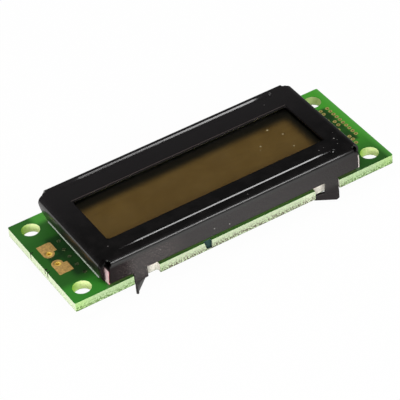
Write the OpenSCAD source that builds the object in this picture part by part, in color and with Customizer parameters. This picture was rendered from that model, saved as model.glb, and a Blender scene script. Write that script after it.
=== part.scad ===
/* [Board] */
// Length of the circuit board
board_l = 56; // [55:0.5:58]
// Depth of the circuit board
board_w = 21; // [20.8:0.1:22]
// Thickness of the circuit board
board_t = 1.6; // [1.4:0.1:1.6]
// Distance between the corner holes along the board
hole_pitch_x = 50.8; // [50:0.1:51]
// Distance between the corner holes across the board
hole_pitch_y = 15.875; // [15:0.125:16]
// Diameter of the corner holes
hole_d = 2.9; // [2.5:0.1:3]
// Width of the notches that the lock tabs pass through
notch_w = 4.4; // [4:0.1:4.8]

/* [Bezel] */
// Thickness of the sheet metal
sheet = 0.35; // [0.3:0.05:0.35]
// Depth over the long walls of the bezel
bezel_w = 20.7; // [20.6:0.1:20.8]
// Height of the bezel's top face over the board
bezel_top = 4.3; // [4.25:0.05:4.5]
// Length over the end walls
bezel_l = 45.6; // [45.4:0.1:45.8]
// Gap between the long walls and the board
wall_gap = 0.45; // [0.3:0.05:0.6]
// Outer radius of the bend along the long walls
long_bend_r = 0.6; // [0.5:0.1:0.8]
// Outer radius of the bend along the end walls
end_bend_r = 1.3; // [1:0.1:1.4]
// Radius of the bulge of the left end wall
left_bulge_r = 7.8; // [7.8:0.1:9]
// Radius of the bulge of the right end wall
right_bulge_r = 40; // [30:1:60]

/* [Window and grooves] */
// Length of the window
window_l = 38; // [36:0.5:38]
// Depth of the window
window_w = 10.7; // [10:0.1:11]
// Corner radius of the window
window_r = 0.6; // [0.3:0.1:1]
// Length of the stiffening grooves
groove_l = 38.2; // [30:0.1:38.5]
// Width of the stiffening grooves at the top face
groove_w = 1.3; // [1.2:0.1:1.4]
// Distance of the grooves from the middle of the bezel
groove_y = 8.85; // [8.8:0.05:8.9]

/* [Lock tabs] */
// Distance of the lock tabs from the middle of the board
tab_x = 16.8; // [16:0.1:17]
// Width of a lock tab's stem
tab_w = 2.3; // [2:0.1:2.4]
// Twist of the right lock tabs in degrees
right_twist = 33; // [25:1:36]
// Twist of the left lock tabs in degrees
left_twist = 42; // [36:1:44]
// Depth that the right lock tabs reach below the board's top
right_drop = 3.4; // [3.3:0.05:3.6]
// Depth that the left lock tabs reach below the board's top, without their tips
left_drop = 3.5; // [3.3:0.05:3.6]

/* [Display cell] */
// Length of the glasses
glass_l = 43; // [42:0.1:43.2]
// Depth of the front glass
front_glass_w = 19.4; // [19:0.1:19.6]
// Depth of the rear glass
rear_glass_w = 15.2; // [14.8:0.1:15.4]
// Thickness of each glass
glass_t = 0.7; // [0.55:0.05:0.7]
// Thickness of the front polariser
polariser_t = 0.2; // [0.15:0.01:0.22]

/* [Contacts] */
// Number of gold fingers under each contact strip
finger_count = 40; // [20:1:42]
// Distance between the rings of the outer row
ring_pitch = 0.88; // [0.8:0.01:0.9]
// Number of rings in the outer row
ring_count = 10; // [6:1:11]

/* [Underside] */
// Diameter of the controller's epoxy cap
controller_cap_d = 9; // [8:0.5:10]
// Height of the epoxy caps
cap_h = 1.3; // [1:0.1:1.5]

/* [Hidden] */

$fn = 64;
// Small overlap that keeps cuts and joined forms clean
eps = 0.01;

// Heights of the stack over the board
plate_z = bezel_top - sheet;
groove_depth = sheet;
glass_top_z = plate_z - groove_depth;
front_glass_z = glass_top_z - glass_t;
seal_t = 0.1;
rear_glass_z = front_glass_z - seal_t - glass_t;
rear_film_t = 0.25;
frame_h = rear_glass_z - rear_film_t;
copper_t = 0.04;

// Board cuts
notch_x = 15.9;
notch_depth = 0.9;
notch_corner_r = 0.35;
board_corner_r = 0.25;
recess_depth = 0.35;
slit_w = 0.28;
slit_depth = 0.4;
// Distance along the left edge and height of each slit
edge_slits = [[-1.35, 0.8], [-2.1, 1.08], [3.2, 1]];

// Bezel outline
bezel_x = -0.12;
wall_x = 21.88;
// Left edge of a long wall at the board and at the slant's upper height
wall_left = [-21.87, -21.36];
slant_h = 5;
top_half_w = bezel_w / 2 - long_bend_r;
bend_x = bezel_l / 2 - end_bend_r;
bend_z = bezel_top - end_bend_r;
foot_z = 0.15;
// Front and rear edge of each end wall
left_edges = [-9.8, 9.3];
right_edges = [-9.1, 9.3];
// How far the left wall's front edge leans back, and where the lean begins
left_lean = 0.45;
lean_z = 2.6;
end_corner_r = 0.3;
relief_r = 0.5;
relief_x = 21.8;
relief_y = 9.95;
relief_z = 3.4;
window_x = -0.2;
window_y = -0.25;
groove_x = -0.3;

// Groove section, measured across from the middle of a groove
groove_flat = 0.35;
groove_under_flat = 0.5;
groove_under_w = 0.82;
groove_land = 1;

// Lock tab
tab_y = bezel_w / 2 - sheet / 2;
// Top and end height of the twisted neck, and its turning axis from the stem's middle
right_neck = [-1.05, -2.3, 0];
left_neck = [-1.4, -2.35, 0.8];
neck_steps = 12;
tip_r = 0.2;
tip_reach = 0.3;
tab_root = 0.1;

// Filling port and films of the cell
port_w = 1.6;
bead_w = 2.4;
bead_r = 0.55;
film_l = 41.4;
film_w = 15.6;

// Contact strips
strip_x = [-21.98, 22.19];
// How far the upper edge of the left cut stands back
strip_slant = 0.28;
strip_w = 2;
strip_y = 8.9;

// Spacer frame
frame_x = [-21.9, 22.1];
frame_w = 15.4;
frame_rim = 1.4;
frame_foot_x = [-22.5, 22.66];
frame_foot_w = 15.6;

// Plated holes
led_x = -25.86;
led_rear_y = 1.37;
led_front_y = -1.32;
led_hole_r = 0.32;
led_barrel_r = 0.42;
led_lobe_r = 0.9;
ring_r = 0.325;
ring_hole_r = 0.14;
ring_barrel_r = 0.2;
outer_row_x = 26.43;
outer_row_y = 5.14;
inner_spots = [[25.17, 5.15], [25.15, 4.25], [25.5, 1.66], [25.5, 0.66], [25.24, -2.78],
    [25.27, -3.65], [25.22, -4.61], [24.7, 2.5], [24.8, -0.4]];
via_spots = [[-23.2, 3.07], [-23.5, 0.9], [-23.55, -0.92], [-23.55, -3.09], [-23.4, -5.21]];
via_r = 0.34;
via_hole_r = 0.12;

// Gold fingers
finger_w = 0.6;
finger_l = 1.7;
finger_pitch = 1;

// Parts on the underside
cap_x = -8.5;
driver_x = 8;
driver_cap_d = 8;
resistor_spots = [[15.2, 5.4], [15.2, 3.2], [15.2, 1], [15.2, -1.2], [15.2, -3.4]];
capacitor_spots = [[-17.2, 3.4], [-17.2, -1.8]];
resistor_size = [2, 1.25, 0.5];
capacitor_size = [2, 1.25, 0.9];
joint_l = 0.45;

module at_corners() {
    for (sx = [-1, 1], sy = [-1, 1])
        translate([sx * hole_pitch_x / 2, sy * hole_pitch_y / 2, 0])
            children();
}

module rounded_rect(l, w, r) {
    square([l - 2 * r, w], center = true);
    square([l, w - 2 * r], center = true);
    for (sx = [-1, 1], sy = [-1, 1])
        translate([sx * (l / 2 - r), sy * (w / 2 - r)])
            circle(r = r);
}

// Slot in the board's edge with round inner corners, open towards +y
module notch_2d() {
    translate([-notch_w / 2, notch_corner_r])
        square([notch_w, notch_depth + 1 - notch_corner_r]);
    translate([-notch_w / 2 + notch_corner_r, 0])
        square([notch_w - 2 * notch_corner_r, notch_depth]);
    for (sx = [-1, 1])
        translate([sx * (notch_w / 2 - notch_corner_r), notch_corner_r])
            circle(r = notch_corner_r);
}

module outer_ring_spots() {
    for (i = [0 : ring_count - 1])
        translate([outer_row_x, outer_row_y - i * ring_pitch, 0])
            children();
}

module inner_ring_spots() {
    for (p = inner_spots)
        translate([p[0], p[1], 0])
            children();
}

module via_row_spots() {
    for (p = via_spots)
        translate([p[0], p[1], 0])
            children();
}

module board_bore(r) {
    translate([0, 0, -board_t - 1])
        cylinder(r = r, h = board_t + 2);
}

module edge_recess() {
    translate([0, -board_w / 2 + recess_depth, 0])
        rotate([90, 0, 0])
            linear_extrude(height = recess_depth + 1)
                polygon([[-6, eps], [-4.7, eps], [-4.78, -1.4], [-5.65, -1.4]]);
}

module circuit_board() {
    color("#2f7a2c")
    difference() {
        translate([0, 0, -board_t])
            linear_extrude(height = board_t)
                difference() {
                    rounded_rect(board_l, board_w, board_corner_r);
                    for (sx = [-1, 1], turn = [0, 1])
                        rotate(180 * turn)
                            translate([sx * notch_x, board_w / 2 - notch_depth])
                                notch_2d();
                }
        at_corners()
            board_bore(hole_d / 2);
        for (y = [led_rear_y, led_front_y])
            translate([led_x, y, 0])
                board_bore(led_barrel_r);
        outer_ring_spots()
            board_bore(ring_barrel_r);
        inner_ring_spots()
            board_bore(ring_barrel_r);
        via_row_spots()
            board_bore(ring_barrel_r);
        edge_recess();
        for (s = edge_slits)
            translate([-board_l / 2 - 1, s[0] - slit_w / 2, -s[1]])
                cube([slit_depth + 1, slit_w, s[1] + 1]);
    }
}

// Half section of an end wall: the bend and the bulge below it
module end_section(bend, bulge, bulge_x, top, foot) {
    translate([bend_x, bend_z])
        circle(r = bend);
    intersection() {
        translate([bulge_x, bend_z])
            circle(r = bulge, $fn = 180);
        translate([bend_x, foot])
            square([end_bend_r + 1, bend_z - foot]);
    }
    translate([bend_x - 1, foot])
        square([1, top - foot]);
}

// Outline of an end wall seen from the end, with small round lower corners
module end_outline(edges, lean) {
    low_z = foot_z + end_corner_r;
    polygon([[edges[0], bezel_top + 1], [edges[0], lean_z], [edges[0] + lean, low_z],
        [edges[1], low_z], [edges[1], bezel_top + 1]]);
    translate([edges[0] + lean + end_corner_r, foot_z])
        square([edges[1] - edges[0] - lean - 2 * end_corner_r, bezel_top]);
    for (y = [edges[0] + lean + end_corner_r, edges[1] - end_corner_r])
        translate([y, low_z])
            circle(r = end_corner_r);
}

module end_wall(bulge_r, edges, lean) {
    bulge_x = bezel_l / 2 - bulge_r;
    intersection() {
        translate([0, 10, 0])
            rotate([90, 0, 0])
                linear_extrude(height = 20)
                    difference() {
                        end_section(end_bend_r, bulge_r, bulge_x, bezel_top, foot_z);
                        end_section(end_bend_r - sheet, bulge_r - sheet, bulge_x, plate_z, foot_z - 1);
                    }
        translate([bend_x - 1, 0, 0])
            rotate([90, 0, 90])
                linear_extrude(height = 4)
                    end_outline(edges, lean);
    }
}

// Section of a long wall with its bend, in depth and height
module long_section() {
    difference() {
        union() {
            translate([top_half_w, bezel_top - long_bend_r])
                circle(r = long_bend_r);
            translate([top_half_w, wall_gap])
                square([long_bend_r, bezel_top - long_bend_r - wall_gap]);
            translate([top_half_w - 1, plate_z])
                square([1, sheet]);
        }
        translate([top_half_w, bezel_top - long_bend_r])
            circle(r = long_bend_r - sheet);
        translate([0, wall_gap - 1])
            square([bezel_w / 2 - sheet, bezel_top - long_bend_r - wall_gap + 1]);
        translate([0, wall_gap - 1])
            square([top_half_w, plate_z - wall_gap + 1]);
    }
}

module long_wall() {
    intersection() {
        translate([-wall_x, 0, 0])
            rotate([90, 0, 90])
                linear_extrude(height = 2 * wall_x)
                    long_section();
        rotate([90, 0, 0])
            translate([0, 0, -bezel_w])
                linear_extrude(height = 2 * bezel_w)
                    polygon([[wall_left[0], 0], [wall_x + 1, 0], [wall_x + 1, slant_h], [wall_left[1], slant_h]]);
    }
}

// Half section of a groove: the top surface, the slope and the sheet below
module groove_half_section() {
    polygon([[0, plate_z - groove_depth], [groove_under_flat, plate_z - groove_depth],
        [groove_under_w, plate_z], [groove_land, plate_z], [groove_land, bezel_top],
        [groove_w / 2, bezel_top], [groove_flat, bezel_top - groove_depth],
        [0, bezel_top - groove_depth]]);
}

module groove_pan() {
    run = groove_l - groove_w;
    translate([-run / 2, 0, 0])
        rotate([90, 0, 90])
            linear_extrude(height = run) {
                groove_half_section();
                mirror([1, 0])
                    groove_half_section();
            }
    for (turn = [0, 1])
        rotate(180 * turn)
            translate([run / 2, 0, 0])
                rotate(-90)
                    rotate_extrude(angle = 180)
                        groove_half_section();
}

module groove_cut() {
    run = groove_l - groove_w;
    cut_r = groove_land - 0.05;
    translate([-run / 2, -cut_r, plate_z - 1])
        cube([run, 2 * cut_r, sheet + 2]);
    for (sx = [-1, 1])
        translate([sx * run / 2, 0, plate_z - 1])
            cylinder(r = cut_r, h = sheet + 2);
}

// Foot of a lock tab in its own plane, with the toe towards -x
module tab_foot(drop, neck_end) {
    polygon([[tab_w / 2, neck_end], [tab_w / 2, -drop + 0.5], [tab_w / 2 - 0.5, -drop],
        [-2.65, -drop], [-2.77, -drop + 0.12], [-2.81, -drop + 0.3], [-2.77, -drop + 0.75],
        [-2.62, -drop + 0.93], [-1.35, -board_t - 0.27], [-1, -board_t], [-0.6, -board_t],
        [-0.6, neck_end]]);
}

// Small round tip at the outer corner of a left tab's foot
module tab_tip(drop) {
    translate([tab_w / 2 - tip_r, -drop - tip_reach + tip_r])
        circle(r = tip_r);
    translate([tab_w / 2 - 2 * tip_r, -drop - tip_reach + tip_r])
        square([2 * tip_r, tip_reach - tip_r + 0.5]);
}

// Lock tab of the front wall: stem, twisted neck and foot under the board
module lock_tab(twist, drop, neck, tip) {
    step_h = (neck[0] - neck[1]) / neck_steps;
    translate([0, -tab_y, 0])
        translate([-tab_w / 2, -sheet / 2, neck[0]])
            cube([tab_w, sheet, wall_gap + tab_root - neck[0]]);
    translate([neck[2], -tab_y, 0]) {
        for (i = [1 : neck_steps])
            translate([0, 0, neck[0] - i * step_h])
                rotate(-twist * i / (neck_steps + 1))
                    translate([-tab_w / 2 - neck[2], -sheet / 2, 0])
                        cube([tab_w, sheet, step_h + eps]);
        rotate(-twist)
            translate([-neck[2], sheet / 2, 0])
                rotate([90, 0, 0])
                    linear_extrude(height = sheet) {
                        tab_foot(drop, neck[1]);
                        if (tip)
                            tab_tip(drop);
                    }
    }
}

module bezel_shell() {
    difference() {
        union() {
            translate([-bend_x, -top_half_w, plate_z])
                cube([2 * bend_x, 2 * top_half_w, sheet]);
            for (m = [0, 1])
                mirror([0, m, 0])
                    long_wall();
            end_wall(right_bulge_r, right_edges, 0);
            mirror([1, 0, 0])
                end_wall(left_bulge_r, left_edges, left_lean);
        }
        for (sx = [-1, 1], sy = [-1, 1])
            translate([sx * relief_x, sy * relief_y, relief_z])
                cylinder(r = relief_r, h = bezel_top);
    }
}

module bezel() {
    color("#1d1d1f") {
        difference() {
            translate([bezel_x, 0, 0])
                bezel_shell();
            translate([window_x, window_y, plate_z - 1])
                linear_extrude(height = sheet + 2)
                    rounded_rect(window_l, window_w, window_r);
            for (sy = [-1, 1])
                translate([groove_x, sy * groove_y, 0])
                    groove_cut();
        }
        for (sy = [-1, 1])
            translate([groove_x, sy * groove_y, 0])
                groove_pan();
        for (m = [0, 1])
            mirror([0, m, 0]) {
                translate([tab_x, 0, 0])
                    lock_tab(right_twist, right_drop, right_neck, false);
                mirror([1, 0, 0])
                    translate([tab_x, 0, 0])
                        lock_tab(left_twist, left_drop, left_neck, true);
            }
    }
}

module plate(l, w, z, t) {
    translate([-l / 2, -w / 2, z])
        cube([l, w, t]);
}

module front_glass() {
    color("#9fb0a4")
    plate(glass_l, front_glass_w, front_glass_z, glass_t);
}

module rear_glass() {
    color("#93a498")
    plate(glass_l, rear_glass_w, rear_glass_z, glass_t);
}

// Seal line between the glasses, open at the filling port
module cell_seal() {
    color("#d8d2b8")
    difference() {
        plate(glass_l - 0.8, rear_glass_w - 0.8, rear_glass_z + glass_t, seal_t);
        plate(glass_l - 2.4, rear_glass_w - 2.4, rear_glass_z + glass_t - 1, seal_t + 2);
        translate([glass_l / 2 - 3, -port_w / 2, rear_glass_z + glass_t - 1])
            cube([4, port_w, seal_t + 2]);
    }
}

// Glue that fills the port and stands as a bead on the cell's end
module fill_plug() {
    color("#e6dcae") {
        translate([glass_l / 2 - 1.2, -port_w / 2, rear_glass_z + glass_t])
            cube([1.2, port_w, seal_t]);
        intersection() {
            translate([glass_l / 2 - 0.25, bead_w / 2, rear_glass_z + glass_t + seal_t / 2])
                rotate([90, 0, 0])
                    cylinder(r = bead_r, h = bead_w);
            translate([glass_l / 2, -bead_w, rear_glass_z - 1])
                cube([2, 2 * bead_w, 4]);
        }
    }
}

module front_polariser() {
    color("#6d6448")
    plate(film_l, film_w, glass_top_z, polariser_t);
}

module rear_polariser() {
    color("#7b6a35")
    plate(glass_l - 0.4, rear_glass_w - 0.4, rear_glass_z - rear_film_t, rear_film_t);
}

module contact_strip() {
    translate([0, strip_y + strip_w / 2, 0])
        rotate([90, 0, 0])
            linear_extrude(height = strip_w)
                polygon([[strip_x[0], copper_t], [strip_x[1], copper_t], [strip_x[1], front_glass_z],
                    [strip_x[0] + strip_slant, front_glass_z]]);
}

module front_strip() {
    color("#e1a4ab")
    mirror([0, 1, 0])
        contact_strip();
}

module rear_strip() {
    color("#e1a4ab")
    contact_strip();
}

module span(x, w, z, t) {
    translate([x[0], -w / 2, z])
        cube([x[1] - x[0], w, t]);
}

module spacer_frame() {
    color("#e9e9e2")
    difference() {
        union() {
            span(frame_x, frame_w, 0, frame_h);
            span(frame_foot_x, frame_foot_w, 0, foot_z);
        }
        span([frame_x[0] + frame_rim, frame_x[1] - frame_rim], frame_w - 2 * frame_rim, -1, frame_h + 2);
    }
}

module plated_hole(pad_r, barrel_r, bore_r) {
    difference() {
        union() {
            cylinder(r = pad_r, h = copper_t);
            translate([0, 0, -board_t - eps])
                cylinder(r = barrel_r, h = board_t + 2 * eps);
            translate([0, 0, -board_t - copper_t])
                cylinder(r = pad_r, h = copper_t);
        }
        board_bore(bore_r);
    }
}

module led_pad(hole_y, near_y, far_y, clip) {
    translate([led_x, hole_y, 0])
        plated_hole(led_lobe_r, led_barrel_r, led_hole_r);
    difference() {
        linear_extrude(height = copper_t)
            polygon([[-26.75, near_y], [-26.75, far_y], [-24.4 - clip, far_y],
                [-24.4, far_y - sign(far_y) * clip], [-24.4, near_y]]);
        translate([led_x, hole_y, 0])
            board_bore(led_hole_r);
    }
}

module led_pad_rear() {
    color("#c79c4e")
    led_pad(led_rear_y, 1.5, 3.7, 0.25);
}

module led_pad_front() {
    color("#c79c4e")
    led_pad(led_front_y, -1.6, -3.75, 0.1);
}

module outer_rings() {
    color("#b99b55")
    outer_ring_spots()
        plated_hole(ring_r, ring_barrel_r, ring_hole_r);
}

module inner_rings() {
    color("#b99b55")
    inner_ring_spots()
        plated_hole(ring_r, ring_barrel_r, ring_hole_r);
}

module tented_vias() {
    color("#1f5a20")
    via_row_spots()
        plated_hole(via_r, ring_barrel_r, via_hole_r);
}

module finger_row() {
    for (i = [0 : finger_count - 1])
        translate([(i - (finger_count - 1) / 2) * finger_pitch - finger_w / 2, strip_y - finger_l / 2, 0])
            cube([finger_w, finger_l, copper_t]);
}

module front_fingers() {
    color("#d0a850")
    mirror([0, 1, 0])
        finger_row();
}

module rear_fingers() {
    color("#d0a850")
    finger_row();
}

// Low dome of epoxy hanging under the board
module epoxy_cap(d, h) {
    dome_r = (d * d / 4 + h * h) / (2 * h);
    intersection() {
        translate([0, 0, -board_t + dome_r - h])
            sphere(r = dome_r, $fn = 120);
        translate([0, 0, -board_t - h - 1])
            cylinder(r = d, h = h + 1);
    }
}

module controller_cap() {
    color("#151515")
    translate([cap_x, 0, 0])
        epoxy_cap(controller_cap_d, cap_h);
}

module driver_cap() {
    color("#151515")
    translate([driver_x, 0, 0])
        epoxy_cap(driver_cap_d, cap_h);
}

module chip(size) {
    translate([-size[0] / 2, -size[1] / 2, -board_t - size[2]])
        cube(size);
}

module chip_resistors() {
    color("#232323")
    for (p = resistor_spots)
        translate([p[0], p[1], 0])
            chip(resistor_size);
}

module chip_capacitors() {
    color("#a08060")
    for (p = capacitor_spots)
        translate([p[0], p[1], 0])
            chip(capacitor_size);
}

// Solder wedges at both ends of a chip
module joints(size) {
    for (m = [0, 1])
        mirror([m, 0, 0])
            translate([size[0] / 2, size[1] / 2, -board_t])
                rotate([90, 0, 0])
                    linear_extrude(height = size[1])
                        polygon([[0, 0], [joint_l, 0], [0, -size[2] * 0.7]]);
}

module solder_joints() {
    color("#c8c8c8") {
        for (p = resistor_spots)
            translate([p[0], p[1], 0])
                joints(resistor_size);
        for (p = capacitor_spots)
            translate([p[0], p[1], 0])
                joints(capacitor_size);
    }
}

circuit_board();
bezel();
front_glass();
rear_glass();
cell_seal();
fill_plug();
front_polariser();
rear_polariser();
front_strip();
rear_strip();
spacer_frame();
led_pad_rear();
led_pad_front();
outer_rings();
inner_rings();
tented_vias();
front_fingers();
rear_fingers();
controller_cap();
driver_cap();
chip_resistors();
chip_capacitors();
solder_joints();
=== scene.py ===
import math

import bmesh
import bpy
from mathutils import Matrix, Vector


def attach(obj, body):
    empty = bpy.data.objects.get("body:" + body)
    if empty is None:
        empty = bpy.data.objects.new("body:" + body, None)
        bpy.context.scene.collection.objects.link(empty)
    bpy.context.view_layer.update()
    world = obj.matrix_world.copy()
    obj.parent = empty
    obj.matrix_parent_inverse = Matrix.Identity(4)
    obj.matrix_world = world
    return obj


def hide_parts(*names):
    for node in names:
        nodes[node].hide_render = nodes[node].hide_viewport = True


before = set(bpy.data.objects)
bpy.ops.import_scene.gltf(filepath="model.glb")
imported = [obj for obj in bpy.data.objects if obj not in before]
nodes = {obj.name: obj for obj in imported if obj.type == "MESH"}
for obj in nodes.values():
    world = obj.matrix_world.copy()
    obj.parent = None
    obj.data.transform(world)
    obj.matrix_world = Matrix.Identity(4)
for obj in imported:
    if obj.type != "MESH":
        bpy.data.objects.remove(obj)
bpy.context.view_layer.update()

scene = bpy.context.scene
mm = 0.001  # the frame is in metres, the sizes below are in millimetres where no other unit is given
onLine = 0.002  # mm: how near to a line or plane a corner counts as on it
cutHair = 1e-7  # metres: how near to a cut a corner is taken into it


def metres(sizes):
    return tuple(size * mm for size in sizes)


def startPiece(name):
    bpy.ops.object.select_all(action="DESELECT")
    mesh = bpy.data.meshes.new(name)
    piece = bpy.data.objects.new(name, mesh)
    scene.collection.objects.link(piece)
    bpy.context.view_layer.objects.active = piece
    piece.select_set(True)
    bpy.ops.object.mode_set(mode="EDIT")
    return piece


def pick(piece, kind, test):
    # selects the vertices, edges or faces whose corners all pass the test, given in mm
    bpy.ops.mesh.select_mode(type=kind)
    bpy.ops.mesh.select_all(action="DESELECT")
    mesh = bmesh.from_edit_mesh(piece.data)
    for item in {"VERT": mesh.verts, "EDGE": mesh.edges, "FACE": mesh.faces}[kind]:
        corners = [item] if kind == "VERT" else item.verts
        if all(test(corner.co / mm) for corner in corners):
            item.select_set(True)
    bmesh.update_edit_mesh(piece.data)


def moveBy(x=0.0, y=0.0, z=0.0):
    bpy.ops.transform.translate(value=metres((x, y, z)))


def extrudeBy(x=0.0, y=0.0, z=0.0):
    bpy.ops.mesh.extrude_region_move(TRANSFORM_OT_translate={"value": metres((x, y, z))})


def roundCorners(radius, segments, profile=0.5):
    bpy.ops.mesh.bevel(offset=radius * mm, segments=segments, profile=profile, affect="VERTICES",
                       clamp_overlap=False)


def turnAbout(place, angle):
    # with no window the operator turns the other way, so the angle is negative here and in spinEdges
    bpy.ops.transform.rotate(value=-math.radians(angle), orient_axis="Z", orient_type="GLOBAL",
                             center_override=metres(place))


def spinEdges(angle, steps, center, axis):
    bpy.ops.mesh.spin(steps=steps, dupli=False, angle=-math.radians(angle), use_auto_merge=False,
                      center=metres(center), axis=axis)


def applyModifier(piece, kind, **settings):
    modifier = piece.modifiers.new(kind.title(), kind)
    for name, value in settings.items():
        setattr(modifier, name, value)
    bpy.context.view_layer.objects.active = piece
    bpy.ops.object.modifier_apply(modifier=modifier.name)


def smoothPiece(piece, angle):
    bpy.ops.object.select_all(action="DESELECT")
    piece.select_set(True)
    bpy.context.view_layer.objects.active = piece
    bpy.ops.object.shade_smooth_by_angle(angle=math.radians(angle))


def hexColour(code):
    channels = [int(code[i:i + 2], 16) / 255 for i in (1, 3, 5)]
    linear = [c / 12.92 if c <= 0.04045 else ((c + 0.055) / 1.055) ** 2.4 for c in channels]
    return (*linear, 1.0)


def addNode(tree, kind, inputs=(), **settings):
    # inputs in socket order or by name: nodes and sockets are linked, hex codes become colours, the rest is set
    node = tree.nodes.new(kind)
    for name, value in settings.items():
        setattr(node, name, value)
    for name, value in (inputs if isinstance(inputs, dict) else dict(enumerate(inputs))).items():
        if isinstance(value, bpy.types.Node):
            value = next(output for output in value.outputs if output.enabled)
        if isinstance(value, bpy.types.NodeSocket):
            tree.links.new(value, node.inputs[name])
        else:
            node.inputs[name].default_value = hexColour(value) if isinstance(value, str) else value
    return node


def startMaterial(name):
    material = bpy.data.materials.new(name)
    material.use_nodes = True
    tree = material.node_tree
    tree.nodes.clear()
    place = addNode(tree, "ShaderNodeTexCoord").outputs["Object"]
    return material, tree, place


def joinMasks(tree, operation, masks):
    total = masks[0]
    for mask in masks[1:]:
        total = addNode(tree, "ShaderNodeMath", [total, mask], operation=operation)
    return total


def paintLayers(tree, base, *layers):
    # each layer is a mask and the colour that it lays over what is below
    for mask, colour in layers:
        base = addNode(tree, "ShaderNodeMix", {0: mask, 6: base, 7: colour}, data_type="RGBA")
    return base


def zoneMask(tree, place, x0, x1, y0, y1, soft):
    # 1 inside a rectangle of the board's plane, fading out over the soft width
    axes = addNode(tree, "ShaderNodeSeparateXYZ", [place])
    ramps = [addNode(tree, "ShaderNodeMapRange", [axes.outputs[axis], (edge - soft) * mm, (edge + soft) * mm,
                                                  outer, 1 - outer], interpolation_type="SMOOTHSTEP")
             for axis, edge, outer in (("X", x0, 0), ("X", x1, 1), ("Y", y0, 0), ("Y", y1, 1))]
    return joinMasks(tree, "MULTIPLY", ramps)


def spotMask(tree, place, spots, squeeze=(1, 1, 1)):
    # the strength of each spot (x, y, z, radius, strength) inside half its radius, 0 from its radius on
    scaled = addNode(tree, "ShaderNodeVectorMath", [place, squeeze], operation="MULTIPLY")
    masks = []
    for x, y, z, radius, strength in spots:
        middle = metres(c * share for c, share in zip((x, y, z), squeeze))
        away = addNode(tree, "ShaderNodeVectorMath", [scaled, middle], operation="DISTANCE")
        masks.append(addNode(tree, "ShaderNodeMapRange", [away, radius / 2 * mm, radius * mm, strength, 0]))
    return joinMasks(tree, "MAXIMUM", masks)


def lightPathMask(tree, *rays):
    path = addNode(tree, "ShaderNodeLightPath")
    return joinMasks(tree, "MAXIMUM", [path.outputs[ray] for ray in rays])


print("camera")
cameraView = dict(
    azimuth=-27.5245, elevation=39.9158, roll=-6.2707,  # degrees
    focalPixels=2259.15, imageWidth=400, sensor=36.0,
    originInView=(0.263, 1.383, -342.80),  # the board's centre in camera axes, mm
    clip=(0.01, 10),
)


def makeCamera(view):
    a, e, r = (math.radians(view[angle]) for angle in ("azimuth", "elevation", "roll"))
    back = Vector((math.sin(a) * math.cos(e), -math.cos(a) * math.cos(e), math.sin(e)))
    right = Vector((0, 0, 1)).cross(back).normalized()
    turn = Matrix(((math.cos(r), math.sin(r), 0), (-math.sin(r), math.cos(r), 0), (0, 0, 1)))
    toCamera = turn @ Matrix((right, back.cross(right), back))
    place = toCamera.transposed() @ (-Vector(view["originInView"]) * mm)
    data = bpy.data.cameras.new("photoCamera")
    data.sensor_width = view["sensor"]
    data.lens = view["focalPixels"] / view["imageWidth"] * view["sensor"]
    data.clip_start, data.clip_end = view["clip"]
    scene.camera = bpy.data.objects.new("photoCamera", data)
    scene.collection.objects.link(scene.camera)
    scene.camera.matrix_world = Matrix.Translation(place) @ toCamera.transposed().to_4x4()


makeCamera(cameraView)

print("studio")
studio = dict(
    floorHeight=-3.8, floorColour="#f2f2f0",
    floorSize=6.0,  # metres
    whiteShare=0.97, mirroredShare=0.25,  # how much of the floor glows white for the camera and in a reflection
    # metres: the part of the floor that looks white in the coat lies left of the module and in front of it
    mirroredFrom=(0.025, 0.010, 0), mirroredNear=0.030, mirroredFar=0.080, mirroredDark=0.08,
    ambient=0.42, horizon=0.10, overhead=0.05, overheadFrom=0.6,
)
softboxes = {  # place and size in metres, power in watts, all turned to the module
    "keySoftbox": dict(place=(0.25, -0.51, 0.38), size=(0.24, 0.24), power=1.6),
    "sideSoftbox": dict(place=(-0.50, -0.44, 0.17), size=(0.30, 0.20), power=2.7),
    "topSoftbox": dict(place=(-0.16, 0.10, 0.75), size=(0.36, 0.36), power=1.5),
}


def makeFloor(s):
    bpy.ops.object.select_all(action="DESELECT")
    bpy.ops.mesh.primitive_plane_add(size=s["floorSize"], location=(0, 0, s["floorHeight"] * mm))
    floor = bpy.context.object
    floor.name = "paleFloor"
    # acrylic cast against glass and matted: even and pale, it keeps the soft shadow
    material, tree, place = startMaterial("matte white acrylic table")
    shifted = addNode(tree, "ShaderNodeVectorMath", [place, s["mirroredFrom"]], operation="ADD")
    away = addNode(tree, "ShaderNodeVectorMath", [shifted], operation="LENGTH")
    near = addNode(tree, "ShaderNodeMapRange", [away, s["mirroredNear"], s["mirroredFar"], 1.0, s["mirroredDark"]],
                   interpolation_type="SMOOTHSTEP")
    mirrored = lightPathMask(tree, "Is Glossy Ray")
    strength = addNode(tree, "ShaderNodeMix", {0: mirrored, 2: 1.0, 3: near})
    glow = addNode(tree, "ShaderNodeEmission", {"Strength": strength})
    tone = paintLayers(tree, "#000000", (strength, s["floorColour"]))
    matte = addNode(tree, "ShaderNodeBsdfDiffuse", {"Color": tone})
    seen = lightPathMask(tree, "Is Camera Ray", "Is Glossy Ray", "Is Transmission Ray")
    white = addNode(tree, "ShaderNodeMix", {0: mirrored, 2: s["whiteShare"], 3: s["mirroredShare"]})
    share = joinMasks(tree, "MULTIPLY", [seen, white])
    addNode(tree, "ShaderNodeOutputMaterial", [addNode(tree, "ShaderNodeMixShader", [share, matte, glow])])
    floor.data.materials.append(material)


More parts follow.
